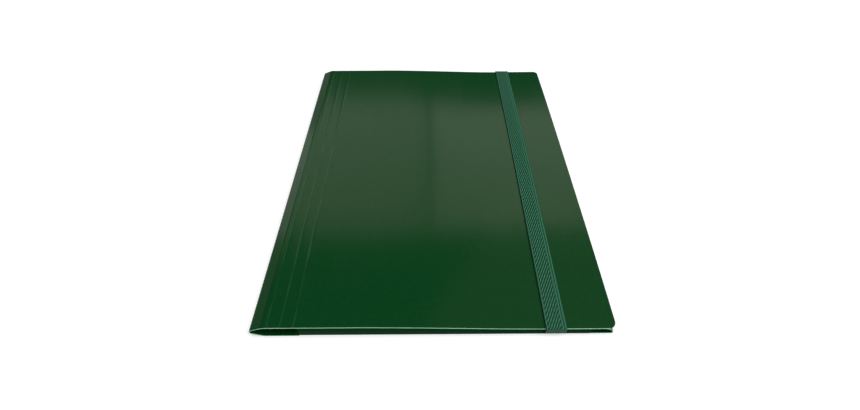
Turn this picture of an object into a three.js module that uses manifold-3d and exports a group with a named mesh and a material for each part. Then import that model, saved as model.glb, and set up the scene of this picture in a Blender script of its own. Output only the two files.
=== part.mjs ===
// A three-flap document folder of glossy card, lying closed under its flat elastic band.
// Millimetres. +X runs from the spine to the fore edge, +Y from the foot to the head, +Z up.
// The origin is under the middle of the folder, on the surface that it lies on.
import * as THREE from "three";
import { mergeVertices } from "three/addons/utils/BufferGeometryUtils.js";
import Module from "manifold-3d";

const wasm = await Module();
wasm.setup();

// The card blank
const folderWidth = 240; // spine fold to fore edge
const folderHeight = 320; // foot to head
const cardThickness = 0.7;
const layerGap = 0.35; // air between one layer of card and the next
const foreCornerRadius = 5;

// The closed folder's thickness, measured to the outside of the front cover
const riseAtSpine = 10.4;
const riseAtBand = 7.15; // foot and head edges, where the band pulls them down
const riseAtForeEdge = 7.3;
const pullStart = 172; // from the fore edge back to where the cover starts to dip
const crownShare = 0.55; // how much of that dip the middle of the cover makes good

// The spine, with score lines beside it that let it grow as the folder fills
const spineFoldRadius = 2.4;
const spineBendDistance = 9.1; // from the spine fold to where each cover levels off
const spineBendRadius = 8;
const scoreCount = 3; // on each cover
const firstScore = 12.3; // from the spine fold
const scorePitch = 8.75;
const scoreWidth = 1.6;
const scoreRise = 0.15;
const hingeGap = 0.3; // between the front cover's edge and the back cover's at the spine fold

// The flaps
const endFlapDepth = 104; // foot and head flaps, fold to free edge
const endFlapStart = 32; // from the spine fold
const endFlapStop = 16; // from the fore edge
const endFlapTaper = 16; // by which each side leans in over the flap's depth
const endFoldReach = 3.6; // how far a foot or head fold stands out past the flat panel
const endFoldInset = 0.1; // of the foot and head folds from the cover's edge
const tuckLength = 4; // behind its fold, over which an end flap dips to go under the fore flap
const tuckBefore = 35; // the folds dip too, from this far before the fore flap's free edge
const tuckAfter = 75; // to this far past it
const foreFlapDepth = 128;
const foreFoldReach = 7;
const foreFoldInset = 0.8;
const foreFlapEndInset = 0.5; // of the fore flap's ends from the cover's foot and head
const foreFlapSquare = 28; // from the fold to where its ends start to lean in
const foreFlapTaper = 20;
const creaseRadius = 1.2; // outside, where a fold leaves the flat panel
const flapCornerRadius = 6;

// The elastic band
const bandWidth = 14;
const bandThickness = 0.8;
const bandFromForeEdge = 39.5; // its centre line
const bandGap = 0.3;
const bandTurnRadius = 0.3; // inside each turn
const bandLapLength = 18; // where its two ends are stitched together, inside the folder
const bandRampLength = 9; // over which the inner run climbs to each slot
const slotMargin = 0.6; // on each side of the band's width
const slotHeight = 1.6;

// How finely curved faces are cut
const stationsAlong = 16;
const flapSteps = 6;
const foldSteps = 8;
const creaseSteps = 3;

const cardGreen = new THREE.Color(0.006, 0.062, 0.018);
const bandGreen = new THREE.Color(0.03, 0.12, 0.075);

// Places worked out from the sizes above
const spineX = -folderWidth / 2;
const foreX = folderWidth / 2;
const headY = folderHeight / 2;
const hingeZ = riseAtSpine / 2;
const spineBendX = spineX + spineBendDistance;
const bandX = foreX - bandFromForeEdge;
const pullStartX = foreX - pullStart;
const endFoldY = headY - endFoldInset - endFoldReach; // where the foot and head folds start
const foreFoldX = foreX - foreFoldInset - foreFoldReach;
const foreFlapFreeX = foreFoldX - foreFlapDepth;

// Smooth step from 0 at a to 1 at b
function ease(a, b, x) {
  const t = Math.min(1, Math.max(0, (x - a) / (b - a)));
  return t * t * (3 - 2 * t);
}

// Height of the front cover's outer face. Its foot and head edges dip under the band.
// Between them the card crowns up.
function coverTop(x, y) {
  const dip = (riseAtSpine - riseAtBand) * ease(pullStartX, bandX, x);
  const recover = (riseAtForeEdge - riseAtBand) * ease(bandX, foreX, x);
  const along = Math.min(1, Math.abs(y) / headY);
  return riseAtSpine - dip + recover + crownShare * (dip - recover) * (1 - along ** 3);
}

// Top of the fore flap, which lies straight under the front cover
function foreFlapTop(x, y) {
  return coverTop(x, y) - cardThickness - layerGap;
}

// Where the fore flap's slanted end lies, for each x
function foreFlapEnd(x) {
  const slope = foreFlapTaper / (foreFlapDepth - foreFlapSquare);
  return headY - foreFlapEndInset - slope * Math.max(0, foreFoldX - foreFlapSquare - x);
}

// Top of a foot or head flap. It lies under the front cover, and dips under the fore flap's end.
function endFlapTop(x, y) {
  const fromFold = endFoldY - Math.abs(y);
  const alongFold = ease(foreFlapFreeX - tuckBefore, foreFlapFreeX + tuckAfter, x);
  const tucked = Math.max(ease(0, tuckLength, fromFold), alongFold);
  return foreFlapTop(x, y) - (cardThickness + layerGap) * tucked;
}

// A closed solid from a grid of outer points and the matching grid of inner points
function sheetSolid(outer, inner) {
  const rows = outer.length;
  const columns = outer[0].length;
  const positions = [];
  for (const point of [...outer.flat(), ...inner.flat()]) positions.push(point.x, point.y, point.z);
  const at = (side, i, j) => (side * rows + i) * columns + j;
  const faces = [];
  const quad = (a, b, c, d) => faces.push(a, b, c, a, c, d);
  for (let i = 0; i + 1 < rows; i++) {
    for (let j = 0; j + 1 < columns; j++) {
      quad(at(0, i, j), at(0, i + 1, j), at(0, i + 1, j + 1), at(0, i, j + 1));
      quad(at(1, i, j), at(1, i, j + 1), at(1, i + 1, j + 1), at(1, i + 1, j));
    }
    quad(at(0, i, 0), at(1, i, 0), at(1, i + 1, 0), at(0, i + 1, 0));
    const last = columns - 1;
    quad(at(0, i, last), at(0, i + 1, last), at(1, i + 1, last), at(1, i, last));
  }
  for (let j = 0; j + 1 < columns; j++) {
    quad(at(0, 0, j), at(0, 0, j + 1), at(1, 0, j + 1), at(1, 0, j));
    const last = rows - 1;
    quad(at(0, last, j), at(1, last, j), at(1, last, j + 1), at(0, last, j + 1));
  }
  return facingOut(positions, faces);
}

// A closed solid whose faces point out, whichever way round they were listed
function facingOut(positions, faces) {
  const build = (triVerts) =>
    new wasm.Manifold(
      new wasm.Mesh({
        numProp: 3,
        vertProperties: new Float32Array(positions),
        triVerts: new Uint32Array(triVerts),
      }),
    );
  const solid = build(faces);
  if (solid.volume() > 0) return solid;
  const turned = [];
  for (let i = 0; i < faces.length; i += 3) turned.push(faces[i], faces[i + 2], faces[i + 1]);
  return build(turned);
}

// A closed three.js geometry as a solid
function solidFrom(geometry) {
  const bare = geometry.clone();
  bare.deleteAttribute("normal");
  bare.deleteAttribute("uv");
  const merged = mergeVertices(bare, 1e-4);
  return facingOut(Array.from(merged.attributes.position.array), Array.from(merged.index.array));
}

// A solid as a named mesh
function meshFrom(solid, name, material) {
  const { numProp, vertProperties, triVerts } = solid.getMesh();
  const positions = new Float32Array((vertProperties.length / numProp) * 3);
  for (let i = 0; i * numProp < vertProperties.length; i++) {
    positions.set(vertProperties.subarray(i * numProp, i * numProp + 3), i * 3);
  }
  const geometry = new THREE.BufferGeometry();
  geometry.setAttribute("position", new THREE.BufferAttribute(positions, 3));
  geometry.setIndex(new THREE.BufferAttribute(new Uint32Array(triVerts), 1));
  geometry.computeVertexNormals();
  const mesh = new THREE.Mesh(geometry, material);
  mesh.name = name;
  return mesh;
}

// A cutter that stands on a plan outline. Each corner is { x, y, r }, r being its radius.
function planPrism(corners) {
  const points = corners.map((c) => new THREE.Vector2(c.x, c.y));
  const shape = new THREE.Shape();
  corners.forEach((corner, i) => {
    const here = points[i];
    const before = points[(i + points.length - 1) % points.length];
    const after = points[(i + 1) % points.length];
    const radius = corner.r || 0;
    const enter = here.clone().add(before.clone().sub(here).setLength(radius));
    const leave = here.clone().add(after.clone().sub(here).setLength(radius));
    if (i === 0) shape.moveTo(enter.x, enter.y);
    else shape.lineTo(enter.x, enter.y);
    if (radius > 0) shape.quadraticCurveTo(here.x, here.y, leave.x, leave.y);
  });
  shape.closePath();
  const tall = 4 * riseAtSpine;
  const geometry = new THREE.ExtrudeGeometry(shape, { depth: tall, bevelEnabled: false, curveSegments: 6 });
  geometry.translate(0, 0, -tall / 2);
  return solidFrom(geometry);
}

// Pairs of outer and inner points (x, z) along an arc of card, bent about a centre
function bentCard(centre, radius, fromAngle, toAngle, steps) {
  const pairs = [];
  for (let i = 0; i <= steps; i++) {
    const angle = fromAngle + ((toAngle - fromAngle) * i) / steps;
    const outward = new THREE.Vector2(Math.cos(angle), Math.sin(angle));
    const outer = centre.clone().addScaledVector(outward, radius);
    pairs.push([outer, outer.clone().addScaledVector(outward, -cardThickness)]);
  }
  return pairs;
}

// The front half of the spine's section, from the spine fold to where the cover levels off.
// The back half is its mirror image in height.
function spineSection() {
  const foldCentre = new THREE.Vector2(spineX + spineFoldRadius, hingeZ);
  const toBend = new THREE.Vector2(spineBendX, riseAtSpine).sub(foldCentre);
  const foldEnd = toBend.angle() + Math.acos(spineFoldRadius / toBend.length());
  const foldStart = Math.PI - Math.asin(hingeGap / 2 / spineFoldRadius);
  const bendReach = spineBendRadius * Math.tan((foldEnd - Math.PI / 2) / 2);
  const bendCentre = new THREE.Vector2(spineBendX + bendReach, riseAtSpine - spineBendRadius);
  return [
    ...bentCard(foldCentre, spineFoldRadius, foldStart, foldEnd, foldSteps / 2),
    ...bentCard(bendCentre, spineBendRadius, foldEnd, Math.PI / 2, foldSteps / 4),
  ];
}

// Places along a panel, from the spine to its far end. Each score line lifts the card a little:
// a bead on the front cover's outer face, a groove on the back cover's.
function panelStations(farX, count) {
  const stations = [];
  for (let k = 0; k < scoreCount; k++) {
    const x = spineX + firstScore + k * scorePitch;
    stations.push({ x: x - scoreWidth / 2, lift: 0 });
    stations.push({ x, lift: scoreRise });
    stations.push({ x: x + scoreWidth / 2, lift: 0 });
  }
  const from = stations.at(-1).x;
  for (let i = 1; i <= count; i++) stations.push({ x: from + ((farX - from) * i) / count, lift: 0 });
  return stations;
}

// The front cover with its half of the spine, bowed and dipped as it lies under the band
function frontCoverSolid() {
  const spine = spineSection();
  const panel = panelStations(foreX, stationsAlong);
  const outer = [];
  const inner = [];
  for (let i = 0; i <= stationsAlong; i++) {
    const y = -headY + (folderHeight * i) / stationsAlong;
    const top = panel.map((s) => new THREE.Vector3(s.x, y, coverTop(s.x, y) + s.lift));
    outer.push([...spine.map(([p]) => new THREE.Vector3(p.x, y, p.y)), ...top]);
    const under = top.map((p) => new THREE.Vector3(p.x, y, p.z - cardThickness));
    inner.push([...spine.map(([, p]) => new THREE.Vector3(p.x, y, p.y)), ...under]);
  }
  const outline = planPrism([
    { x: spineX - 1, y: -headY },
    { x: foreX, y: -headY, r: foreCornerRadius },
    { x: foreX, y: headY, r: foreCornerRadius },
    { x: spineX - 1, y: headY },
  ]);
  return sheetSolid(outer, inner).intersect(outline);
}

// The back cover's flat panel with its half of the spine
function backPanelSolid(toX, toY) {
  const spine = spineSection();
  const panel = panelStations(toX, 1);
  const section = (y) => {
    const out = spine.map(([p]) => new THREE.Vector3(p.x, y, 2 * hingeZ - p.y));
    const inn = spine.map(([, p]) => new THREE.Vector3(p.x, y, 2 * hingeZ - p.y));
    for (const s of panel) {
      out.push(new THREE.Vector3(s.x, y, s.lift));
      inn.push(new THREE.Vector3(s.x, y, s.lift + cardThickness));
    }
    return [out, inn];
  };
  const [outerFoot, innerFoot] = section(-toY);
  const [outerHead, innerHead] = section(toY);
  return sheetSolid([outerFoot, outerHead], [innerFoot, innerHead]);
}

// One section through a flap and its fold: pairs of outer and inner points (along, z).
// The card is creased at along reach, arches over from the crease, and runs back to -depth.
function flapSection(topAt, reach, depth) {
  const pairs = [[new THREE.Vector2(-reach, 0), new THREE.Vector2(-reach, cardThickness)]];
  const height = topAt(0);
  const quarterTurn = (centre, wide, tall, fromAngle, fromStep, steps) => {
    for (let i = fromStep; i <= steps; i++) {
      const angle = fromAngle + ((Math.PI / 2) * i) / steps;
      const ring = (inset) =>
        new THREE.Vector2(
          centre + (wide - inset) * Math.cos(angle),
          creaseRadius + (tall - inset) * Math.sin(angle),
        );
      pairs.push([ring(0), ring(cardThickness)]);
    }
  };
  quarterTurn(reach - creaseRadius, creaseRadius, creaseRadius, -Math.PI / 2, 0, creaseSteps);
  quarterTurn(0, reach, height - creaseRadius, 0, 1, foldSteps);
  // The places crowd together next to the fold, where the flap bends most
  for (let i = 1; i <= flapSteps; i++) {
    const along = -depth * (i / flapSteps) ** 2;
    const top = topAt(along);
    pairs.push([new THREE.Vector2(along, top), new THREE.Vector2(along, top - cardThickness)]);
  }
  return pairs;
}

// The fore flap with its fold
function foreFlapSolid() {
  const outer = [];
  const inner = [];
  const end = headY - foreFlapEndInset;
  const stations = stationsAlong / 2;
  for (let i = 0; i <= stations; i++) {
    const y = -end + (2 * end * i) / stations;
    const topAt = (along) => foreFlapTop(foreFoldX + along, y);
    const pairs = flapSection(topAt, foreFoldReach, foreFlapDepth);
    outer.push(pairs.map(([p]) => new THREE.Vector3(foreFoldX + p.x, y, p.y)));
    inner.push(pairs.map(([, p]) => new THREE.Vector3(foreFoldX + p.x, y, p.y)));
  }
  const outline = planPrism([
    { x: foreX, y: -end },
    { x: foreX, y: end },
    { x: foreFoldX - foreFlapSquare, y: end },
    { x: foreFlapFreeX, y: foreFlapEnd(foreFlapFreeX), r: flapCornerRadius },
    { x: foreFlapFreeX, y: -foreFlapEnd(foreFlapFreeX), r: flapCornerRadius },
    { x: foreFoldX - foreFlapSquare, y: -end },
  ]);
  return sheetSolid(outer, inner).intersect(outline);
}

// A foot flap (side -1) or head flap (side 1) with its fold
function endFlapSolid(side) {
  const startX = spineX + endFlapStart;
  const stopX = foreX - endFlapStop;
  const outer = [];
  const inner = [];
  const stations = stationsAlong;
  for (let i = 0; i <= stations; i++) {
    const x = startX + ((stopX - startX) * i) / stations;
    const topAt = (along) => endFlapTop(x, endFoldY + along);
    const pairs = flapSection(topAt, endFoldReach, endFlapDepth);
    outer.push(pairs.map(([p]) => new THREE.Vector3(x, side * (endFoldY + p.x), p.y)));
    inner.push(pairs.map(([, p]) => new THREE.Vector3(x, side * (endFoldY + p.x), p.y)));
  }
  const freeY = endFoldY - endFlapDepth;
  const outline = planPrism([
    { x: startX, y: side * headY },
    { x: stopX, y: side * headY },
    { x: stopX, y: side * endFoldY },
    { x: stopX - endFlapTaper, y: side * freeY, r: flapCornerRadius },
    { x: startX + endFlapTaper, y: side * freeY, r: flapCornerRadius },
    { x: startX, y: side * endFoldY },
  ]);
  return sheetSolid(outer, inner).intersect(outline);
}

// Height of the middle of the slots that the band comes out of, in the foot and head folds
function slotZ() {
  return endFlapTop(bandX, endFoldY) / 2;
}

// The back cover, its half of the spine and all the flaps, with the slots for the band.
// Its foot and head run out to the cover's edge only beside the spine, and almost as far beside
// the fore fold, where no foot or head flap is.
function backCoverSolid() {
  const between = (fromX, toX) =>
    planPrism([
      { x: fromX, y: -headY },
      { x: toX, y: -headY },
      { x: toX, y: headY },
      { x: fromX, y: headY },
    ]);
  const spineEnds = between(spineX - 1, spineX + endFlapStart);
  const foreEnds = between(foreX - endFlapStop, foreX);
  let solid = backPanelSolid(foreFoldX, endFoldY)
    .add(backPanelSolid(foreFoldX, headY).intersect(spineEnds))
    .add(backPanelSolid(foreFoldX, headY - foreFlapEndInset).intersect(foreEnds))
    .add(foreFlapSolid())
    .add(endFlapSolid(-1))
    .add(endFlapSolid(1));
  const slotWidth = bandWidth + 2 * slotMargin;
  for (const side of [-1, 1]) {
    const cutter = new THREE.BoxGeometry(slotWidth, 2 * endFoldReach, slotHeight);
    cutter.translate(bandX, side * (endFoldY + endFoldReach), slotZ());
    solid = solid.subtract(solidFrom(cutter));
  }
  return solid;
}

// The band's middle line for one x across its width, as points (y, z) round the loop
function bandLoop(x) {
  const half = bandThickness / 2;
  const turn = bandTurnRadius + half;
  const outsideY = headY + bandGap + half;
  const insideZ = cardThickness + bandGap + half;
  const overZ = (y) => coverTop(x, y) + bandGap + half;
  const edgeZ = overZ(headY);
  const headHalf = [];
  const rampStart = endFoldY - bandRampLength;
  const rampSteps = 5;
  for (let i = 0; i <= rampSteps; i++) {
    const y = rampStart + ((endFoldY - rampStart) * i) / rampSteps;
    headHalf.push([y, insideZ + (slotZ() - insideZ) * ease(rampStart, endFoldY, y)]);
  }
  const turnSteps = foldSteps / 2;
  for (let i = 0; i <= turnSteps; i++) {
    const angle = (Math.PI / 2) * (i / turnSteps);
    headHalf.push([outsideY - turn + turn * Math.sin(angle), slotZ() + turn - turn * Math.cos(angle)]);
  }
  for (let i = 0; i <= turnSteps; i++) {
    const angle = (Math.PI / 2) * (i / turnSteps);
    headHalf.push([outsideY - turn + turn * Math.cos(angle), edgeZ - turn + turn * Math.sin(angle)]);
  }
  const overHalf = [];
  const overSteps = stationsAlong / 2;
  for (let i = 1; i <= overSteps; i++) {
    const y = (outsideY - turn) * (1 - i / overSteps);
    overHalf.push([y, overZ(y)]);
  }
  const head = [...headHalf, ...overHalf];
  const foot = head.slice(0, -1).map(([y, z]) => [-y, z]).reverse();
  return [...head, ...foot];
}

function bandSolid() {
  const across = [-bandWidth / 2, 0, bandWidth / 2].map((dx) => bandLoop(bandX + dx));
  const count = across[0].length;
  const positions = [];
  // For each place round the loop: outer points across the width, then inner points
  for (let i = 0; i < count; i++) {
    for (const side of [1, -1]) {
      across.forEach((loop, k) => {
        const before = loop[(i + count - 1) % count];
        const after = loop[(i + 1) % count];
        const run = new THREE.Vector2(after[0] - before[0], after[1] - before[1]).normalize();
        const x = bandX + bandWidth * (k / (across.length - 1) - 0.5);
        const out = (side * bandThickness) / 2;
        positions.push(x, loop[i][0] + run.y * out, loop[i][1] - run.x * out);
      });
    }
  }
  const wide = across.length;
  const ring = 2 * wide;
  const order = [...Array(wide).keys(), ...Array.from({ length: wide }, (_, k) => ring - 1 - k)];
  const faces = [];
  for (let i = 0; i < count; i++) {
    const here = i * ring;
    const next = ((i + 1) % count) * ring;
    for (let k = 0; k < ring; k++) {
      const a = order[k];
      const b = order[(k + 1) % ring];
      faces.push(here + a, here + b, next + b, here + a, next + b, next + a);
    }
  }
  // The lap lies on the inner run, and bites a little into it so that the two join
  const lap = new THREE.BoxGeometry(bandWidth, bandLapLength, bandThickness);
  lap.translate(bandX, 0, cardThickness + bandGap + 1.4 * bandThickness);
  return facingOut(positions, faces).add(solidFrom(lap));
}

const card = new THREE.MeshStandardMaterial({ color: cardGreen, roughness: 0.25, metalness: 0 });
const woven = new THREE.MeshStandardMaterial({ color: bandGreen, roughness: 0.8, metalness: 0 });

const folder = new THREE.Group();
folder.name = "three_flap_folder";
folder.add(meshFrom(frontCoverSolid(), "front_cover", card));
folder.add(meshFrom(backCoverSolid(), "back_cover_with_flaps", card));
folder.add(meshFrom(bandSolid(), "elastic_band", woven));

export default folder;
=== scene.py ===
import math

import bmesh
import bpy
import numpy as np
from mathutils import Matrix, Vector


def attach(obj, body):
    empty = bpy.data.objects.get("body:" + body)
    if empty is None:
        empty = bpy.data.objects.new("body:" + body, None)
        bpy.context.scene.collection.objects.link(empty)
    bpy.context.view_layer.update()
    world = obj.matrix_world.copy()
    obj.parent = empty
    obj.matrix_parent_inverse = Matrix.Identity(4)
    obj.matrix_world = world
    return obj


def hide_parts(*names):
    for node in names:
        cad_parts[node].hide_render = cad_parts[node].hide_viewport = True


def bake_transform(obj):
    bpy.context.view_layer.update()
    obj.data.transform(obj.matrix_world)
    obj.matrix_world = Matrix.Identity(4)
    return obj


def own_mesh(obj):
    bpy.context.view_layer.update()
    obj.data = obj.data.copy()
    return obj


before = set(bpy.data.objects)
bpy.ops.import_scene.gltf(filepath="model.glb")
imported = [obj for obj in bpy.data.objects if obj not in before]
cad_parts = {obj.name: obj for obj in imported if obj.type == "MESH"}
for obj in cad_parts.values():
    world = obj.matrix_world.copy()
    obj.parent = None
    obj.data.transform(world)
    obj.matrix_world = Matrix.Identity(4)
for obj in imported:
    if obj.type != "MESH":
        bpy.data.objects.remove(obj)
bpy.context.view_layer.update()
print("solids loaded:", ", ".join(sorted(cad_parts)))

millimetre = 0.001  # shapes below are worked out in millimetres

# The sheet of card, as it lies closed. +X is the fore edge, +Y the head.
card = {
    "width": 240.0,
    "height": 320.0,
    "thickness": 0.7,
    "layerGap": 0.35,  # air between one layer and the next
    "riseAtSpine": 10.4,
    "riseAtBand": 7.15,
    "riseAtForeEdge": 7.3,
    "pullStart": 172.0,  # from the fore edge back to where the cover starts to dip
    "bandFromForeEdge": 39.5,  # middle of the band, where the cover lies lowest
    "crown": 0.55,  # how much of the dip the middle of the cover makes good
    "seamDistance": 11.0,  # from the spine fold to where the bending strip meets the flat covers
    "scores": (12.3, 21.05, 29.8),  # raised lines, measured from the spine fold
    "scoreHalfWidth": 1.15,
    "scoreRise": 0.15,
    "scorePlaces": 9,  # across each line
    "edgeBulge": 0.05,  # of the cut edges
    "coarseStep": 4.0,  # mesh step where the card lies nearly flat
    "fineStep": 2.0,  # across the covers
    "weld": 0.004,  # points closer than this are one
    "sharpAngle": 48,  # degrees between faces, from which their edge is drawn sharp
}

spineX = -card["width"] / 2
foreX = card["width"] / 2
headY = card["height"] / 2
hingeZ = card["riseAtSpine"] / 2
seamX = spineX + card["seamDistance"]
bandX = foreX - card["bandFromForeEdge"]

# Card is never quite flat. Each wave is length, share, shift, sway and length of the sway;
# the one along the folder is length, share, shift and slant. They fade out towards the spine.
waves = {
    "height": 0.035,
    "across": ((11, 1, 0, 0.9, 52), (6.3, 0.7, 1.7, 0.5, 37)),
    "along": (31, 0.8, 0.4, 140),
    "fadeFrom": -86,
    "fadeTo": -60,
}


def ease(a, b, x):  # smooth step from 0 at a to 1 at b
    t = np.clip((np.asarray(x, float) - a) / (b - a), 0, 1)
    return t * t * (3 - 2 * t)


def waver(x, y):
    height = 0
    for length, share, shift, sway, swayLength in waves["across"]:
        height = height + share * np.sin(x / length + shift + sway * np.sin(y / swayLength))
    length, share, shift, slant = waves["along"]
    height = height + share * np.sin(y / length + shift + x / slant)
    return waves["height"] * height * ease(waves["fadeFrom"], waves["fadeTo"], x)


def scoreLift(x):
    lift = np.zeros_like(np.asarray(x, float))
    for distance in card["scores"]:
        t = np.clip(np.abs(x - spineX - distance) / card["scoreHalfWidth"], 0, 1)
        lift = lift + card["scoreRise"] * (0.5 + 0.5 * np.cos(math.pi * t))
    return lift


def scoreMarks():  # places where the mesh has to be cut so that each score line shows
    across = card["scoreHalfWidth"] * np.linspace(-1, 1, card["scorePlaces"])
    return [x for distance in card["scores"] for x in spineX + distance + across]


def coverTop(x, y):
    dip = (card["riseAtSpine"] - card["riseAtBand"]) * ease(foreX - card["pullStart"], bandX, x)
    recover = (card["riseAtForeEdge"] - card["riseAtBand"]) * ease(bandX, foreX, x)
    along = np.minimum(1, np.abs(y) / headY)
    return card["riseAtSpine"] - dip + recover + card["crown"] * (dip - recover) * (1 - along**3)


# Places between two ends, about this far apart, with some places that have to be among them
def places(start, stop, step, *fixed):
    marks = sorted({start, stop, *[f for f in fixed if start < f < stop]})
    runs = []
    for a, b in zip(marks, marks[1:]):
        count = max(2, int(round((b - a) / step)) + 1)
        runs.append(np.linspace(a, b, count)[:-1])
    return np.concatenate([*runs, [stop]])


def newPiece(name, data):
    piece = bpy.data.objects.new(name, data)
    bpy.context.scene.collection.objects.link(piece)
    return piece


def weld(mesh, distance):
    work = bmesh.new()
    work.from_mesh(mesh)
    bmesh.ops.remove_doubles(work, verts=work.verts, dist=distance)
    bmesh.ops.dissolve_degenerate(work, edges=work.edges, dist=distance)
    bmesh.ops.recalc_face_normals(work, faces=work.faces)
    work.to_mesh(mesh)
    work.free()
    mesh.update()


coated, cut, folded = 0, 1, 2  # kinds of face, by their place in a piece's list of materials


class CardMesh:  # gathers sheets of card into one mesh
    def __init__(self):
        self.points, self.faces, self.kinds = [], [], []

    def add(self, outer, inner, hole=None, fold=(0, 0), wornEnds=False):
        rows, columns = outer.shape[:2]
        base = len(self.points)
        self.points.extend(np.concatenate([outer.reshape(-1, 3), inner.reshape(-1, 3)]).tolist())

        def at(side, i, j):
            return base + (side * rows + i) * columns + j

        def punched(i, j):
            return bool(hole) and hole[0] <= i < hole[1] and hole[2] <= j < hole[3]

        def solid(i, j):
            return 0 <= i < rows - 1 and 0 <= j < columns - 1 and not punched(i, j)

        for i in range(rows - 1):
            for j in range(columns - 1):
                if not solid(i, j):
                    continue
                coat = folded if fold[0] <= j < fold[1] else coated
                if wornEnds and i in (0, rows - 2):  # rubbed pale right at the edge
                    coat = cut
                self.face((at(0, i, j), at(0, i + 1, j), at(0, i + 1, j + 1), at(0, i, j + 1)), coat)
                self.face((at(1, i, j), at(1, i, j + 1), at(1, i + 1, j + 1), at(1, i + 1, j)), coated)
                around = (
                    ((i - 1, j), (i, j), (i, j + 1), (i + 1, j)),
                    ((i + 1, j), (i + 1, j + 1), (i + 1, j), (i, j)),
                    ((i, j - 1), (i + 1, j), (i, j), (i, j + 1)),
                    ((i, j + 1), (i, j + 1), (i + 1, j + 1), (i, j)),
                )
                for beyond, a, b, behind in around:
                    if not solid(*beyond):
                        # a slot's cut edge gets the dark coated colour in place of the pale one:
                        # painted shade inside the slot
                        kind = coated if punched(*beyond) else cut
                        self.rim(at(0, *a), at(0, *b), at(1, *b), at(1, *a), at(0, *behind), kind)

    def face(self, corners, kind):
        self.faces.append(corners)
        self.kinds.append(kind)

    def rim(self, a, b, c, d, behind, kind):  # a cut edge with a slight swell along its middle
        pointA, pointB, pointC, pointD = (np.array(self.points[k]) for k in (a, b, c, d))
        away = pointA - np.array(self.points[behind])
        along = pointB - pointA
        length = np.linalg.norm(along)
        if length > 1e-9:
            along = along / length
        away = away - along * (away @ along)
        away = away / max(1e-9, np.linalg.norm(away)) * card["edgeBulge"]
        self.points.append(((pointA + pointD) / 2 + away).tolist())
        self.points.append(((pointB + pointC) / 2 + away).tolist())
        m, n = len(self.points) - 2, len(self.points) - 1
        self.face((a, b, n, m), kind)
        self.face((m, n, c, d), kind)

    def make(self, name, materials):
        mesh = bpy.data.meshes.new(name)
        mesh.from_pydata([[v * millimetre for v in p] for p in self.points], [], self.faces)
        piece = newPiece(name, mesh)
        for material in materials:
            mesh.materials.append(material)
        mesh.polygons.foreach_set("material_index", self.kinds)
        mesh.polygons.foreach_set("use_smooth", [True] * len(mesh.polygons))
        weld(mesh, card["weld"] * millimetre)
        mesh.set_sharp_from_angle(angle=math.radians(card["sharpAngle"]))
        return piece


def newMaterial(name):
    material = bpy.data.materials.new(name)
    material.use_nodes = True
    nodes, links = material.node_tree.nodes, material.node_tree.links
    return material, nodes, links, nodes["Principled BSDF"]


def mathNode(nodes, links, kind, *values):
    node = nodes.new("ShaderNodeMath")
    node.operation = kind
    for socket, value in zip(node.inputs, values):
        if isinstance(value, (int, float)):
            socket.default_value = value
        else:
            links.new(value, socket)
    return node.outputs["Value"]


def splitNode(nodes, links, vector):
    split = nodes.new("ShaderNodeSeparateXYZ")
    links.new(vector, split.inputs["Vector"])
    return split.outputs


def noiseNode(nodes, links, coordinates, scaleAndDetail, stretch=(1, 1, 1)):
    mapping = nodes.new("ShaderNodeMapping")
    mapping.inputs["Scale"].default_value = stretch
    links.new(coordinates, mapping.inputs["Vector"])
    noise = nodes.new("ShaderNodeTexNoise")
    noise.inputs["Scale"].default_value, noise.inputs["Detail"].default_value = scaleAndDetail
    links.new(mapping.outputs["Vector"], noise.inputs["Vector"])
    return noise.outputs["Fac"]


def rampNode(nodes, links, value, span, lowColour, highColour):
    ramp = nodes.new("ShaderNodeValToRGB")
    for element, place, colour in zip(ramp.color_ramp.elements, span, (lowColour, highColour)):
        element.position = place
        element.color = (*colour, 1)
    links.new(value, ramp.inputs["Fac"])
    return ramp.outputs["Color"]


def rangeNode(nodes, links, value, source, target):
    spread = nodes.new("ShaderNodeMapRange")
    spread.inputs["From Min"].default_value, spread.inputs["From Max"].default_value = source
    spread.inputs["To Min"].default_value, spread.inputs["To Max"].default_value = target
    links.new(value, spread.inputs["Value"])
    return spread.outputs["Result"]


def mixNode(nodes, links, share, colour, otherColour):
    mix = nodes.new("ShaderNodeMix")
    mix.data_type = "RGBA"
    links.new(share, mix.inputs[0])
    links.new(colour, mix.inputs[6])
    mix.inputs[7].default_value = (*otherColour, 1)
    return mix.outputs[2]


def bumpNode(nodes, links, height, strengthAndDepth, before=None):
    bump = nodes.new("ShaderNodeBump")
    bump.inputs["Strength"].default_value, bump.inputs["Distance"].default_value = strengthAndDepth
    links.new(height, bump.inputs["Height"])
    if before:
        links.new(before, bump.inputs["Normal"])
    return bump.outputs["Normal"]


# The dyed, coated face. Noises are scale and detail, bumps strength and depth in metres.
cardFinish = {
    "dark": (0.0024, 0.046, 0.0105),
    "light": (0.0032, 0.051, 0.0125),
    "clouds": (320, 6),
    "cloudSpan": (0.3, 0.7),
    "streaks": (160, 3),  # rolled into the coating, along the folder
    "streakStretch": (1, 0.04, 1),
    "streakBump": (0.06, 0.0004),
    "roughness": (0.11, 0.17),
    "grain": (2600, 3),
    "grainBump": (0.05, 0.0001),
    "gloss": 0.2,
    "foldGloss": 0.02,  # the coating has dulled where the card was folded
    "glossTint": (1.0, 0.93, 0.72),
    "scored": (0.013, 0.082, 0.027),
    "scoredHalfWidth": 0.55,
    "wear": (260, 4),
    "wearStretch": (1, 0.22, 1),
    "wearSpan": (0.4, 0.72),
    "leastWear": 0.05,
}


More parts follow.
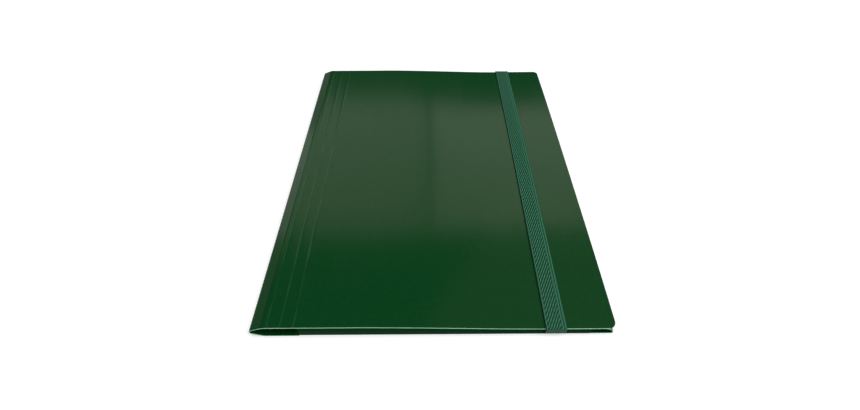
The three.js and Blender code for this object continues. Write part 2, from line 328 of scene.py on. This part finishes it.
def coatedCard(name, gloss):
    material, nodes, links, shader = newMaterial(name)
    where = nodes.new("ShaderNodeTexCoord").outputs["Object"]
    clouds = noiseNode(nodes, links, where, cardFinish["clouds"])
    shades = cardFinish["dark"], cardFinish["light"]
    colour = rampNode(nodes, links, clouds, cardFinish["cloudSpan"], *shades)
    # the coating has paled along the score lines, more in some places than in others
    wear = noiseNode(nodes, links, where, cardFinish["wear"], cardFinish["wearStretch"])
    least = (cardFinish["leastWear"],) * 3
    wear = rampNode(nodes, links, wear, cardFinish["wearSpan"], least, (1, 1, 1))
    across = splitNode(nodes, links, where)["X"]
    halfWidth = cardFinish["scoredHalfWidth"] * millimetre
    for distance in card["scores"]:
        scoreX = (spineX + distance) * millimetre
        near = mathNode(nodes, links, "COMPARE", across, scoreX, halfWidth)
        share = mathNode(nodes, links, "MULTIPLY", near, wear)
        colour = mixNode(nodes, links, share, colour, cardFinish["scored"])
    links.new(colour, shader.inputs["Base Color"])
    streaks = noiseNode(nodes, links, where, cardFinish["streaks"], cardFinish["streakStretch"])
    rough = rangeNode(nodes, links, streaks, (0, 1), cardFinish["roughness"])
    links.new(rough, shader.inputs["Roughness"])
    grain = noiseNode(nodes, links, where, cardFinish["grain"])
    soft = bumpNode(nodes, links, streaks, cardFinish["streakBump"])
    fine = bumpNode(nodes, links, grain, cardFinish["grainBump"], soft)
    links.new(fine, shader.inputs["Normal"])
    shader.inputs["Specular IOR Level"].default_value = gloss
    shader.inputs["Specular Tint"].default_value = (*cardFinish["glossTint"], 1)
    return material


edgeFinish = {
    "dark": (0.32, 0.68, 0.42),
    "light": (0.53, 0.95, 0.64),
    "fibres": (900, 4),
    "fibreStretch": (1, 1, 3),
    "fibreSpan": (0.32, 0.7),
    "fibreBump": (0.4, 0.0001),
    "roughness": 0.85,
}


def cutEdge():
    material, nodes, links, shader = newMaterial("cutCardEdge")
    where = nodes.new("ShaderNodeTexCoord").outputs["Object"]
    fibres = noiseNode(nodes, links, where, edgeFinish["fibres"], edgeFinish["fibreStretch"])
    shades = edgeFinish["dark"], edgeFinish["light"]
    colour = rampNode(nodes, links, fibres, edgeFinish["fibreSpan"], *shades)
    links.new(colour, shader.inputs["Base Color"])
    links.new(bumpNode(nodes, links, fibres, edgeFinish["fibreBump"]), shader.inputs["Normal"])
    shader.inputs["Roughness"].default_value = edgeFinish["roughness"]
    return material


cardCoat = coatedCard("coatedGreenCard", cardFinish["gloss"])
foldCoat = coatedCard("foldedGreenCard", cardFinish["foldGloss"])
cardEdge = cutEdge()
print("card materials made")


front = {
    "cornerRadius": 5.0,
    "cornerPlaces": 9,
    "cornerZone": 14.0,  # beside the fore edge, where the mesh follows its rounded outline
}


def foreEdgeX(y):  # plan outline of the fore edge with its rounded corners
    corner = front["cornerRadius"]
    past = np.clip(np.abs(y) - (headY - corner), 0, corner)
    return foreX - corner + np.sqrt(corner**2 - past**2)


def frontCover():
    corner = front["cornerRadius"]
    arc = headY - corner + corner * np.sin(np.linspace(0, math.pi / 2, front["cornerPlaces"]))
    straight = places(-headY + corner, headY - corner, card["coarseStep"])[1:-1]
    ys = np.concatenate([-arc[::-1], straight, arc])
    xs = places(seamX, foreX, card["fineStep"], *scoreMarks())
    shapeFrom = foreX - front["cornerZone"]
    stretch = (foreEdgeX(ys)[:, None] - shapeFrom) / (foreX - shapeFrom)
    x = np.where(xs > shapeFrom, shapeFrom + (xs - shapeFrom) * stretch, xs)
    y = np.repeat(ys[:, None], len(xs), axis=1)
    z = coverTop(x, y) + scoreLift(x) + waver(x, y)
    outer = np.stack([x, y, z], axis=-1)
    inner = np.stack([x, y, z - card["thickness"]], axis=-1)
    mesh = CardMesh()
    mesh.add(outer, inner, wornEnds=True)
    return mesh.make("front_cover_card", [cardCoat, cardEdge])


coverPiece = frontCover()
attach(coverPiece, "cover")
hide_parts("front_cover")
print("front cover:", len(coverPiece.data.polygons), "faces")


# The spine is one strip that bends from cover to cover
spine = {
    "foldRadius": 2.4,
    "bendDistance": 9.1,  # from the spine fold to where each cover levels off
    "bendRadius": 8.0,
    "foldSteps": 12,
    "straightPlaces": 8,  # between the two arcs, so that the strip bends smoothly
    "bendSteps": 8,
}


def bentCard(centre, radius, start, stop, steps):
    angles = np.linspace(start, stop, steps + 1)
    outward = np.stack([np.cos(angles), np.sin(angles)], axis=-1)
    outer = np.array(centre) + outward * radius
    return outer, outer - outward * card["thickness"]


def spineStrip():
    radius, bend = spine["foldRadius"], spine["bendRadius"]
    bendX = spineX + spine["bendDistance"]
    foldCentre = (spineX + radius, hingeZ)
    toX, toZ = bendX - foldCentre[0], card["riseAtSpine"] - hingeZ
    foldEnd = math.atan2(toZ, toX) + math.acos(radius / math.hypot(toX, toZ))
    reach = bend * math.tan((foldEnd - math.pi / 2) / 2)
    bendCentre = (bendX + reach, card["riseAtSpine"] - bend)
    fold = bentCard(foldCentre, radius, math.pi, foldEnd, spine["foldSteps"])
    levelOff = bentCard(bendCentre, bend, foldEnd, math.pi / 2, spine["bendSteps"])
    ys = places(-headY, headY, card["coarseStep"])
    grids = []
    for foldSide, bendSide, lower in zip(fold, levelOff, (0, card["thickness"])):
        straight = np.linspace(foldSide[-1], bendSide[0], spine["straightPlaces"])[1:-1]
        seam = [[seamX, card["riseAtSpine"] - lower]]
        half = np.concatenate([foldSide, straight, bendSide, seam])
        mirrored = half[1:] * [1, -1] + [0, 2 * hingeZ]
        path = np.concatenate([mirrored[::-1], half])
        x = np.repeat(path[None, :, 0], len(ys), axis=0)
        z = np.repeat(path[None, :, 1], len(ys), axis=0)
        y = np.repeat(ys[:, None], len(path), axis=1)
        grids.append(np.stack([x, y, z], axis=-1))
    mesh = CardMesh()
    mesh.add(*grids)
    return mesh.make("spine_card", [cardCoat, cardEdge])


spinePiece = spineStrip()
print("spine strip:", len(spinePiece.data.polygons), "faces")


# The flaps, one with the back cover: foot and head flaps first, the fore flap over them
flaps = {
    "cornerRadius": 6.0,
    "cornerPlaces": 8,
    "creaseRadius": 1.2,  # where a fold leaves the flat panel
    "waverShare": 0.5,
    "dullUpTo": 0.65,  # share of a fold's upper quarter turn that has the dulled coating
    "endDepth": 104.0,  # foot and head flaps
    "endStart": 32.0,  # from the spine fold
    "endStop": 16.0,  # from the fore edge
    "endTaper": 16.0,
    "endReach": 3.6,  # how far their folds stand out past the flat panel
    "endInset": 0.1,
    "endStep": 2.4,  # mesh step along their folds
    "endTurnStep": 0.08,
    "endCrowding": (45, 1.5),  # places from fold to free edge, and how they crowd by the fold
    "tuckLength": 4.0,  # behind the fold, over which they dip under the fore flap
    "tuckBefore": 35.0,
    "tuckAfter": 75.0,
    "slotWidth": 15.2,  # for the band
    "slotHeight": 1.6,
    "foreDepth": 128.0,
    "foreReach": 7.0,
    "foreInset": 0.8,
    "foreEndInset": 0.5,
    "foreSquare": 28.0,  # from the fold to where the ends start to lean in
    "foreTaper": 20.0,
    "forePlaces": 81,  # along its fold
    "foreBottomPlaces": 4,  # between the back panel and its crease
    "foreTurnStep": 0.07,
    "foreCrowding": (50, 1.4),
}

endFoldY = headY - flaps["endInset"] - flaps["endReach"]
foreFoldX = foreX - flaps["foreInset"] - flaps["foreReach"]
foreFreeX = foreFoldX - flaps["foreDepth"]


def foreFlapTop(x, y):
    return coverTop(x, y) - card["thickness"] - card["layerGap"]


def endFlapTop(x, y):
    alongFold = ease(foreFreeX - flaps["tuckBefore"], foreFreeX + flaps["tuckAfter"], x)
    tucked = np.maximum(ease(0, flaps["tuckLength"], endFoldY - np.abs(y)), alongFold)
    return foreFlapTop(x, y) - (card["thickness"] + card["layerGap"]) * tucked


foldHeightAtBand = float(endFlapTop(bandX, endFoldY))
slotZ = foldHeightAtBand / 2  # middle of the slots' height


def backPanel(mesh, xs, ys):
    x, y = np.meshgrid(xs, ys)
    z = scoreLift(x)
    mesh.add(np.stack([x, y, z], axis=-1), np.stack([x, y, z + card["thickness"]], axis=-1))


# Outer and inner line of a fold: turns run from -1 to 0 round the crease, then from 0 to 1
# over the fold's shoulder
def foldRing(height, reach, turns):
    crease = flaps["creaseRadius"]
    angles = turns * math.pi / 2
    low = turns < 0
    rings = []
    for inset in (0, card["thickness"]):
        wide = np.where(low, crease, reach) - inset
        tall = np.where(low, crease, height - crease) - inset
        out = np.where(low, reach - crease, 0) + wide * np.cos(angles)
        rings.append((out, crease + tall * np.sin(angles)))
    return rings


def cornerCut(distance, depth):  # how much a flap's rounded corner takes off its side
    radius = flaps["cornerRadius"]
    past = np.clip(distance - (depth - radius), 0, radius)
    return radius - np.sqrt(radius**2 - past**2)


def flapRun(depth, crowding):  # distances from a flap's fold to its free edge
    count, power = crowding
    run = depth * np.linspace(0, 1, count)[1:] ** power
    square = depth - flaps["cornerRadius"]
    turned = np.sin(np.linspace(0, math.pi / 2, flaps["cornerPlaces"]))
    return np.unique(np.concatenate([run[run < square], square + flaps["cornerRadius"] * turned]))


def nearest(values, value):
    return int(np.argmin(abs(values - value)))


def endFlap(mesh, side):
    startX, stopX = spineX + flaps["endStart"], foreX - flaps["endStop"]
    slotStart, slotStop = bandX - flaps["slotWidth"] / 2, bandX + flaps["slotWidth"] / 2
    xs = places(startX, stopX, flaps["endStep"], slotStart, slotStop)
    crease = flaps["creaseRadius"]
    slotTurns = [
        math.asin((slotZ + half - crease) / (foldHeightAtBand - crease)) / math.pi * 2
        for half in (-flaps["slotHeight"] / 2, flaps["slotHeight"] / 2)
    ]
    turns = places(-1, 1, flaps["endTurnStep"], 0, *slotTurns)
    depth = flaps["endDepth"]
    run = flapRun(depth, flaps["endCrowding"])
    sheets = [], []
    for x in xs:
        share = (x - startX) / (stopX - startX)
        cutOff = flaps["endTaper"] * run / depth + cornerCut(run, depth)
        flapX = startX + cutOff + (stopX - startX - 2 * cutOff) * share
        flapTop = endFlapTop(flapX, endFoldY - run) + flaps["waverShare"] * waver(flapX, run)
        across = np.concatenate([np.full(len(turns), x), flapX])
        rings = foldRing(float(endFlapTop(x, endFoldY)), flaps["endReach"], turns)
        for rows, (ringY, ringZ), lower in zip(sheets, rings, (0, card["thickness"])):
            lengthwise = side * (endFoldY + np.concatenate([ringY, -run]))
            upward = np.concatenate([ringZ, flapTop - lower])
            rows.append(np.stack([across, lengthwise, upward], axis=-1))
    hole = (
        nearest(xs, slotStart),
        nearest(xs, slotStop),
        nearest(turns, slotTurns[0]),
        nearest(turns, slotTurns[1]),
    )
    outer, inner = (np.array(rows) for rows in sheets)
    mesh.add(outer, inner, hole, (0, nearest(turns, flaps["dullUpTo"])))


def foreFlap(mesh):
    depth = flaps["foreDepth"]
    turns = places(-1, 1, flaps["foreTurnStep"], 0)
    run = flapRun(depth, flaps["foreCrowding"])
    end = headY - flaps["foreEndInset"]
    lean = np.maximum(0, run - flaps["foreSquare"]) / (depth - flaps["foreSquare"])
    half = end - flaps["foreTaper"] * lean - cornerCut(run, depth)
    flapX = foreFoldX - run
    bottom = np.linspace(-flaps["foreReach"], 0, flaps["foreBottomPlaces"])[:-1]
    sheets = [], []
    for share in np.linspace(-1, 1, flaps["forePlaces"]):
        foldY, flapY = share * end, share * half
        flapTop = foreFlapTop(flapX, flapY) + flaps["waverShare"] * waver(flapX, flapY)
        lengthwise = np.concatenate([np.full(len(bottom) + len(turns), foldY), flapY])
        rings = foldRing(float(foreFlapTop(foreFoldX, foldY)), flaps["foreReach"], turns)
        for rows, (ringX, ringZ), lower in zip(sheets, rings, (0, card["thickness"])):
            across = np.concatenate([foreFoldX + bottom, foreFoldX + ringX, flapX])
            upward = np.concatenate([bottom * 0 + lower, ringZ, flapTop - lower])
            rows.append(np.stack([across, lengthwise, upward], axis=-1))
    outer, inner = (np.array(rows) for rows in sheets)
    shoulder = len(bottom) + nearest(turns, flaps["dullUpTo"])
    mesh.add(outer, inner, None, (len(bottom), shoulder))


def backCover():
    step = card["coarseStep"]
    flapStartX, flapStopX = spineX + flaps["endStart"], foreX - flaps["endStop"]
    creaseY = endFoldY + flaps["endReach"] - flaps["creaseRadius"]
    foreEndY = headY - flaps["foreEndInset"]
    mesh = CardMesh()
    besideSpine = places(seamX, flapStartX, card["fineStep"], *scoreMarks())
    backPanel(mesh, besideSpine, places(-headY, headY, step))
    backPanel(mesh, places(flapStartX, flapStopX, step), places(-creaseY, creaseY, step))
    besideFold = places(flapStopX, foreFoldX - flaps["foreReach"], step)
    backPanel(mesh, besideFold, places(-foreEndY, foreEndY, step))
    endFlap(mesh, -1)
    endFlap(mesh, 1)
    foreFlap(mesh)
    return mesh.make("back_cover_card", [cardCoat, cardEdge, foldCoat])


backPiece = backCover()
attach(backPiece, "back")
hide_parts("back_cover_with_flaps")
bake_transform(spinePiece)
print("back cover and flaps:", len(backPiece.data.polygons), "faces")


# The band: straight cords along its edges, and strands that slant between them
band = {
    "width": 14.0,
    "thickness": 0.8,
    "gap": 0.3,
    "turnRadius": 0.3,
    "edgeRadius": 0.18,
    "rampLength": 9.0,  # over which the inner run climbs to each slot
    "cords": 8,  # across the width
    "leftCords": 1,  # of them, that run straight along the left and the right edge
    "rightCords": 2,
    "strandLean": 26.0,  # degrees
    "strandPitch": 1.62,
    "cordLean": 16.0,
    "cordPitch": 1.1,
    "cordShare": 0.55,  # how far the cords break the strands up
    "relief": 0.15,
    "step": 0.4,  # mesh step along the part that shows
    "rampStep": 0.7,
    "innerPlaces": 60,  # mesh places along half the inner run, round a turn and down the edge
    "turnPlaces": 9,
    "edgePlaces": 14,
    "placesPerCord": 8,  # mesh places across the band, for its two faces and two sides
    "underPlaces": 9,
    "sidePlaces": 5,
    "weld": 0.0002,
}

bandFinish = {
    # the braid's colour runs by its height, from painted shade in its valleys to the strands' own green
    # on top
    "paintedValleyShade": (0.001, 0.012, 0.006),
    "thread": (0.036, 0.19, 0.1),
    "threadSpan": (0.05, 0.85),
    "side": (0.0006, 0.006, 0.003),  # painted shade along the band's left side, where it stands off the card
    "paintedShadeWidth": 0.6,
    "fuzz": (2500, 3),
    "fuzzShare": 0.3,
    "fuzzBump": (0.35, 0.0001),
    "roughness": 0.6,
    "gloss": 0.15,
}

cordWidth = band["width"] / band["cords"]
bandEndY = headY + band["gap"] + band["thickness"] / 2  # middle of the band where it runs down the edge


def wovenBand():
    material, nodes, links, shader = newMaterial("braidedElastic")
    where = nodes.new("ShaderNodeTexCoord").outputs["Object"]
    split = splitNode(nodes, links, where)

    def maths(kind, *values):
        return mathNode(nodes, links, kind, *values)

    # the braid of weaveHeight, worked out for each point of the surface
    left = (bandX - band["width"] / 2) * millimetre
    across = maths("SUBTRACT", split["X"], left)
    shrink = maths("MULTIPLY_ADD", split["Z"], -1 / (bandEndY * millimetre), 1.0)
    along = maths("MULTIPLY", split["Y"], shrink)
    cord = maths("DIVIDE", across, cordWidth * millimetre)
    cordCurve = maths("SINE", maths("MULTIPLY", maths("FRACT", cord), math.pi))

    def strands(lean, pitch):
        turn = math.radians(lean)
        wave = 2 * math.pi / (pitch * millimetre)
        sideways = maths("MULTIPLY", across, math.cos(turn) * wave)
        lengthwise = maths("MULTIPLY", along, -math.sin(turn) * wave)
        return maths("MULTIPLY_ADD", maths("COSINE", maths("ADD", sideways, lengthwise)), 0.5, 0.5)

    share = band["cordShare"]
    slanted = strands(band["strandLean"], band["strandPitch"])
    slanted = maths("MULTIPLY", slanted, maths("MULTIPLY_ADD", cordCurve, share, 1 - share))
    straight = strands(band["cordLean"], band["cordPitch"])
    straight = maths("MULTIPLY", cordCurve, maths("MULTIPLY_ADD", straight, share, 1 - share))
    pastLeft = maths("GREATER_THAN", cord, band["leftCords"])
    beforeRight = maths("LESS_THAN", cord, band["cords"] - band["rightCords"])
    inMiddle = maths("MULTIPLY", pastLeft, beforeRight)
    height = maths("MULTIPLY_ADD", inMiddle, maths("SUBTRACT", slanted, straight), straight)
    fuzz = noiseNode(nodes, links, where, bandFinish["fuzz"])
    fuzzy = maths("MULTIPLY_ADD", maths("SUBTRACT", fuzz, 0.5), bandFinish["fuzzShare"], height)
    # painted shade in the braid's valleys, the strands' own green on their tops
    shades = bandFinish["paintedValleyShade"], bandFinish["thread"]
    threads = rampNode(nodes, links, fuzzy, bandFinish["threadSpan"], *shades)
    # painted shade: a dark strip along the band's left side
    inPaintedShade = maths("LESS_THAN", across, bandFinish["paintedShadeWidth"] * millimetre)
    colour = mixNode(nodes, links, inPaintedShade, threads, bandFinish["side"])
    links.new(colour, shader.inputs["Base Color"])
    links.new(bumpNode(nodes, links, fuzz, bandFinish["fuzzBump"]), shader.inputs["Normal"])
    shader.inputs["Roughness"].default_value = bandFinish["roughness"]
    shader.inputs["Specular IOR Level"].default_value = bandFinish["gloss"]
    return material


def weaveHeight(across, along):
    cord = across / cordWidth
    cordCurve = np.sin(math.pi * (cord - np.floor(cord)))

    def strands(lean, pitch):
        turn = math.radians(lean)
        distance = across * math.cos(turn) - along * math.sin(turn)
        return 0.5 + 0.5 * np.cos(2 * math.pi * distance / pitch)

    share = band["cordShare"]
    slanted = strands(band["strandLean"], band["strandPitch"]) * (1 - share + share * cordCurve)
    straight = cordCurve * (1 - share + share * strands(band["cordLean"], band["cordPitch"]))
    inMiddle = (cord > band["leftCords"]) & (cord < band["cords"] - band["rightCords"])
    return np.where(inMiddle, slanted, straight)


# Middle line of the band, for places x across it: from the middle of the inner run out through
# the slot at the head, over the cover, and back in at the foot
def bandPath(x):
    half = band["thickness"] / 2
    turn = band["turnRadius"] + half
    turnY = bandEndY - turn
    insideZ = card["thickness"] + band["gap"] + half
    edgeZ = coverTop(x, headY) + band["gap"] + half
    rampStart = endFoldY - band["rampLength"]
    path = []

    def through(y, z):
        path.append((x * 0 + y, x * 0 + z))

    for y in np.linspace(0, rampStart, band["innerPlaces"]):
        through(y, insideZ)
    for y in places(rampStart, endFoldY, band["rampStep"])[1:]:
        through(y, insideZ + (slotZ - insideZ) * ease(rampStart, endFoldY, y))
    for y in places(endFoldY, turnY, band["step"])[1:]:
        through(y, slotZ)
    quarter = np.linspace(0, math.pi / 2, band["turnPlaces"])[1:]
    for angle in quarter:
        through(turnY + turn * math.sin(angle), slotZ + turn - turn * math.cos(angle))
    low, high = slotZ + turn, edgeZ - turn
    for share in np.linspace(0, 1, band["edgePlaces"])[1:]:
        through(bandEndY, low + (high - low) * share)
    for angle in quarter:
        through(turnY + turn * math.cos(angle), edgeZ - turn + turn * math.sin(angle))
    for y in places(0, turnY, band["step"])[::-1][1:]:
        through(y, coverTop(x, y) + band["gap"] + half)
    loop = path + [(-y, z) for y, z in path[-2:0:-1]]
    return np.array([y for y, z in loop]), np.array([z for y, z in loop])


def elasticBand():
    half, thin, edge = band["width"] / 2, band["thickness"] / 2, band["edgeRadius"]
    # places round the band's section: across the outer face, round one edge, back across the
    # inner face, round the other
    face = np.linspace(-half + edge, half - edge, band["placesPerCord"] * band["cords"] + 1)
    under = np.linspace(half - edge, -half + edge, band["underPlaces"])
    angles = np.linspace(math.pi / 2, -math.pi / 2, band["sidePlaces"])[1:-1]
    rightSide = half - edge + edge * np.cos(angles)
    leftSide = -half + edge - edge * np.cos(angles)
    across = np.concatenate([face, rightSide, under, leftSide])
    sideHeight = thin * np.sin(angles)
    faceHeight, underHeight = np.full(len(face), thin), np.full(len(under), -thin)
    outward = np.concatenate([faceHeight, sideHeight, underHeight, -sideHeight])
    x = bandX + across
    pathY, pathZ = bandPath(x)
    runY = np.roll(pathY, -1, axis=0) - np.roll(pathY, 1, axis=0)
    runZ = np.roll(pathZ, -1, axis=0) - np.roll(pathZ, 1, axis=0)
    size = np.hypot(runY, runZ)
    runY, runZ = runY / size, runZ / size
    # the braid stands out on the outer face only
    along = pathY * (1 - pathZ / bandEndY)
    relief = band["relief"] * (weaveHeight((across + half)[None, :], along) - 1)
    push = outward + relief * (outward == thin)
    ys = pathY + runZ * push
    zs = pathZ - runY * push
    count, wide = ys.shape
    xs = np.repeat(x[None, :], count, axis=0)
    points = np.stack([xs, ys, zs], axis=-1).reshape(-1, 3) * millimetre
    i, j = np.meshgrid(np.arange(count), np.arange(wide), indexing="ij")
    ni, nj = (i + 1) % count, (j + 1) % wide
    corners = (i * wide + j, i * wide + nj, ni * wide + nj, ni * wide + j)
    faces = np.stack(corners, axis=-1).reshape(-1, 4)
    mesh = bpy.data.meshes.new("elastic_band_weave")
    mesh.from_pydata(points.tolist(), [], faces.tolist())
    mesh.materials.append(wovenBand())
    mesh.polygons.foreach_set("use_smooth", [True] * len(mesh.polygons))
    weld(mesh, band["weld"] * millimetre)
    return newPiece("elastic_band_weave", mesh)


bandPiece = elasticBand()
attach(bandPiece, "back")
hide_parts("elastic_band")
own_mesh(bandPiece)
print("elastic band:", len(bandPiece.data.polygons), "faces")


# A pale floor, lifted to white, more so far from the folder, where the lamps do not reach
floor = {
    "size": 40.0,
    "below": 0.00002,
    "colour": (0.65, 0.65, 0.65),
    "roughness": 0.9,
    "gloss": 0.1,
    "liftSpan": (0.8, 2.2),  # distances from the folder
    "lift": (0.5, 1.0),  # at those distances
}


# 1 for what the camera, a reflection or a clear material shows, 0 for light that falls on things
def shownDirectly(nodes, links):
    path = nodes.new("ShaderNodeLightPath")
    value = path.outputs["Is Camera Ray"]
    for name in ("Is Glossy Ray", "Is Transmission Ray"):
        value = mathNode(nodes, links, "MAXIMUM", value, path.outputs[name])
    return value


def makeFloor():
    mesh = bpy.data.meshes.new("floor")
    s = floor["size"]
    mesh.from_pydata([(-s, -s, 0), (s, -s, 0), (s, s, 0), (-s, s, 0)], [], [(0, 1, 2, 3)])
    piece = newPiece("floor", mesh)
    piece.location = (0, 0, -floor["below"])
    material, nodes, links, shader = newMaterial("paleFloor")
    shader.inputs["Base Color"].default_value = (*floor["colour"], 1)
    shader.inputs["Roughness"].default_value = floor["roughness"]
    shader.inputs["Specular IOR Level"].default_value = floor["gloss"]
    distance = nodes.new("ShaderNodeVectorMath")
    distance.operation = "LENGTH"
    links.new(nodes.new("ShaderNodeTexCoord").outputs["Object"], distance.inputs[0])
    lift = rangeNode(nodes, links, distance.outputs["Value"], floor["liftSpan"], floor["lift"])
    strength = mathNode(nodes, links, "MULTIPLY", lift, shownDirectly(nodes, links))
    shader.inputs["Emission Color"].default_value = (1, 1, 1, 1)
    links.new(strength, shader.inputs["Emission Strength"])
    mesh.materials.append(material)


makeFloor()

# The camera: place in millimetres, angles in degrees
lens = {
    "place": (-0.45, -309.1, 279.05),
    "tiltDown": 46.12,
    "turn": 0.135,
    "roll": -0.507,
    "focal": 19.285,
    "sensor": 36,
    "nearest": 0.01,
}


def makeCamera():
    data = bpy.data.cameras.new("camera")
    data.lens = lens["focal"]
    data.sensor_width = lens["sensor"]
    data.clip_start = lens["nearest"]
    piece = newPiece("camera", data)
    tilt, roll = math.radians(lens["tiltDown"]), math.radians(lens["roll"])
    turn = Matrix.Rotation(math.radians(lens["turn"]), 3, "Z")
    ahead = turn @ Vector((0, math.cos(tilt), -math.sin(tilt)))
    right = turn @ Vector((1, 0, 0))
    up = right.cross(ahead)
    rolledRight = right * math.cos(roll) + up * math.sin(roll)
    rolledUp = up * math.cos(roll) - right * math.sin(roll)
    turned = Matrix((rolledRight, rolledUp, -ahead)).transposed()
    piece.matrix_world = Matrix.Translation(Vector(lens["place"]) * millimetre) @ turned.to_4x4()
    bpy.context.scene.camera = piece


makeCamera()

# Soft boxes: place, what they aim at, width and height, and brightness of their face
lights = {
    "overhead": {"place": (0, -0.6, 2.6), "aim": (0, -0.25, 0), "size": (3.6, 3.0), "glow": 1.85},
    "rightSide": {"place": (1.9, -0.3, 1.75), "aim": (0, 0, 0), "size": (1.3, 1.3), "glow": 5.0},
    "front": {"place": (0, -2.4, 0.8), "aim": (0, 0, 0), "size": (2.4, 1.0), "glow": 0.2},
    "leftBack": {"place": (-1.93, 1.93, 0.89), "aim": (0, 0, 0), "size": (0.7, 0.6), "glow": 0.8},
    "leftLong": {"place": (-2.05, 1.91, 0.95), "aim": (0, 0, 0), "size": (1.95, 0.8), "glow": 0.36},
    "windowLeft": {
        "place": (-1.185, 2.85, 2.51),
        "aim": (-1.185, 0.3, 0),
        "size": (2.43, 1.23),
        "glow": 1.22,
    },
    "windowRight": {
        "place": (0.83, 2.85, 2.51),
        "aim": (0.83, 0.3, 0),
        "size": (1.48, 1.23),
        "glow": 1.5,
    },
    "rightBack": {"place": (0.95, 1.5, 2.65), "aim": (0, 0, 0), "size": (1.3, 1.3), "glow": 0.28},
}


def makeLights():
    for name, values in lights.items():
        data = bpy.data.lights.new(name, "AREA")
        data.shape = "RECTANGLE"
        data.size, data.size_y = values["size"]
        data.energy = values["glow"] * math.pi * data.size * data.size_y
        piece = newPiece(name, data)
        piece.location = values["place"]
        toAim = Vector(values["aim"]) - Vector(values["place"])
        piece.rotation_mode = "QUATERNION"
        piece.rotation_quaternion = toAim.to_track_quat("-Z", "Y")
        piece.visible_camera = False


# A dim room, white to the camera. Reflections show its white wall up to a low height.
room = {"light": 0.03, "wallTop": 0.12}


def makeRoom():
    world = bpy.data.worlds.new("room")
    world.use_nodes = True
    nodes, links = world.node_tree.nodes, world.node_tree.links
    background = nodes["Background"]
    background.inputs["Color"].default_value = (1, 1, 1, 1)
    upward = splitNode(nodes, links, nodes.new("ShaderNodeTexCoord").outputs["Generated"])["Z"]
    low = mathNode(nodes, links, "LESS_THAN", upward, room["wallTop"])
    reflected = mathNode(nodes, links, "MULTIPLY", shownDirectly(nodes, links), low)
    toCamera = nodes.new("ShaderNodeLightPath").outputs["Is Camera Ray"]
    white = mathNode(nodes, links, "MAXIMUM", toCamera, reflected)
    strength = mathNode(nodes, links, "MAXIMUM", white, room["light"])
    links.new(strength, background.inputs["Strength"])
    bpy.context.scene.world = world


makeRoom()
makeLights()
bpy.context.scene.view_settings.view_transform = "Standard"
print("floor, camera and lights made")
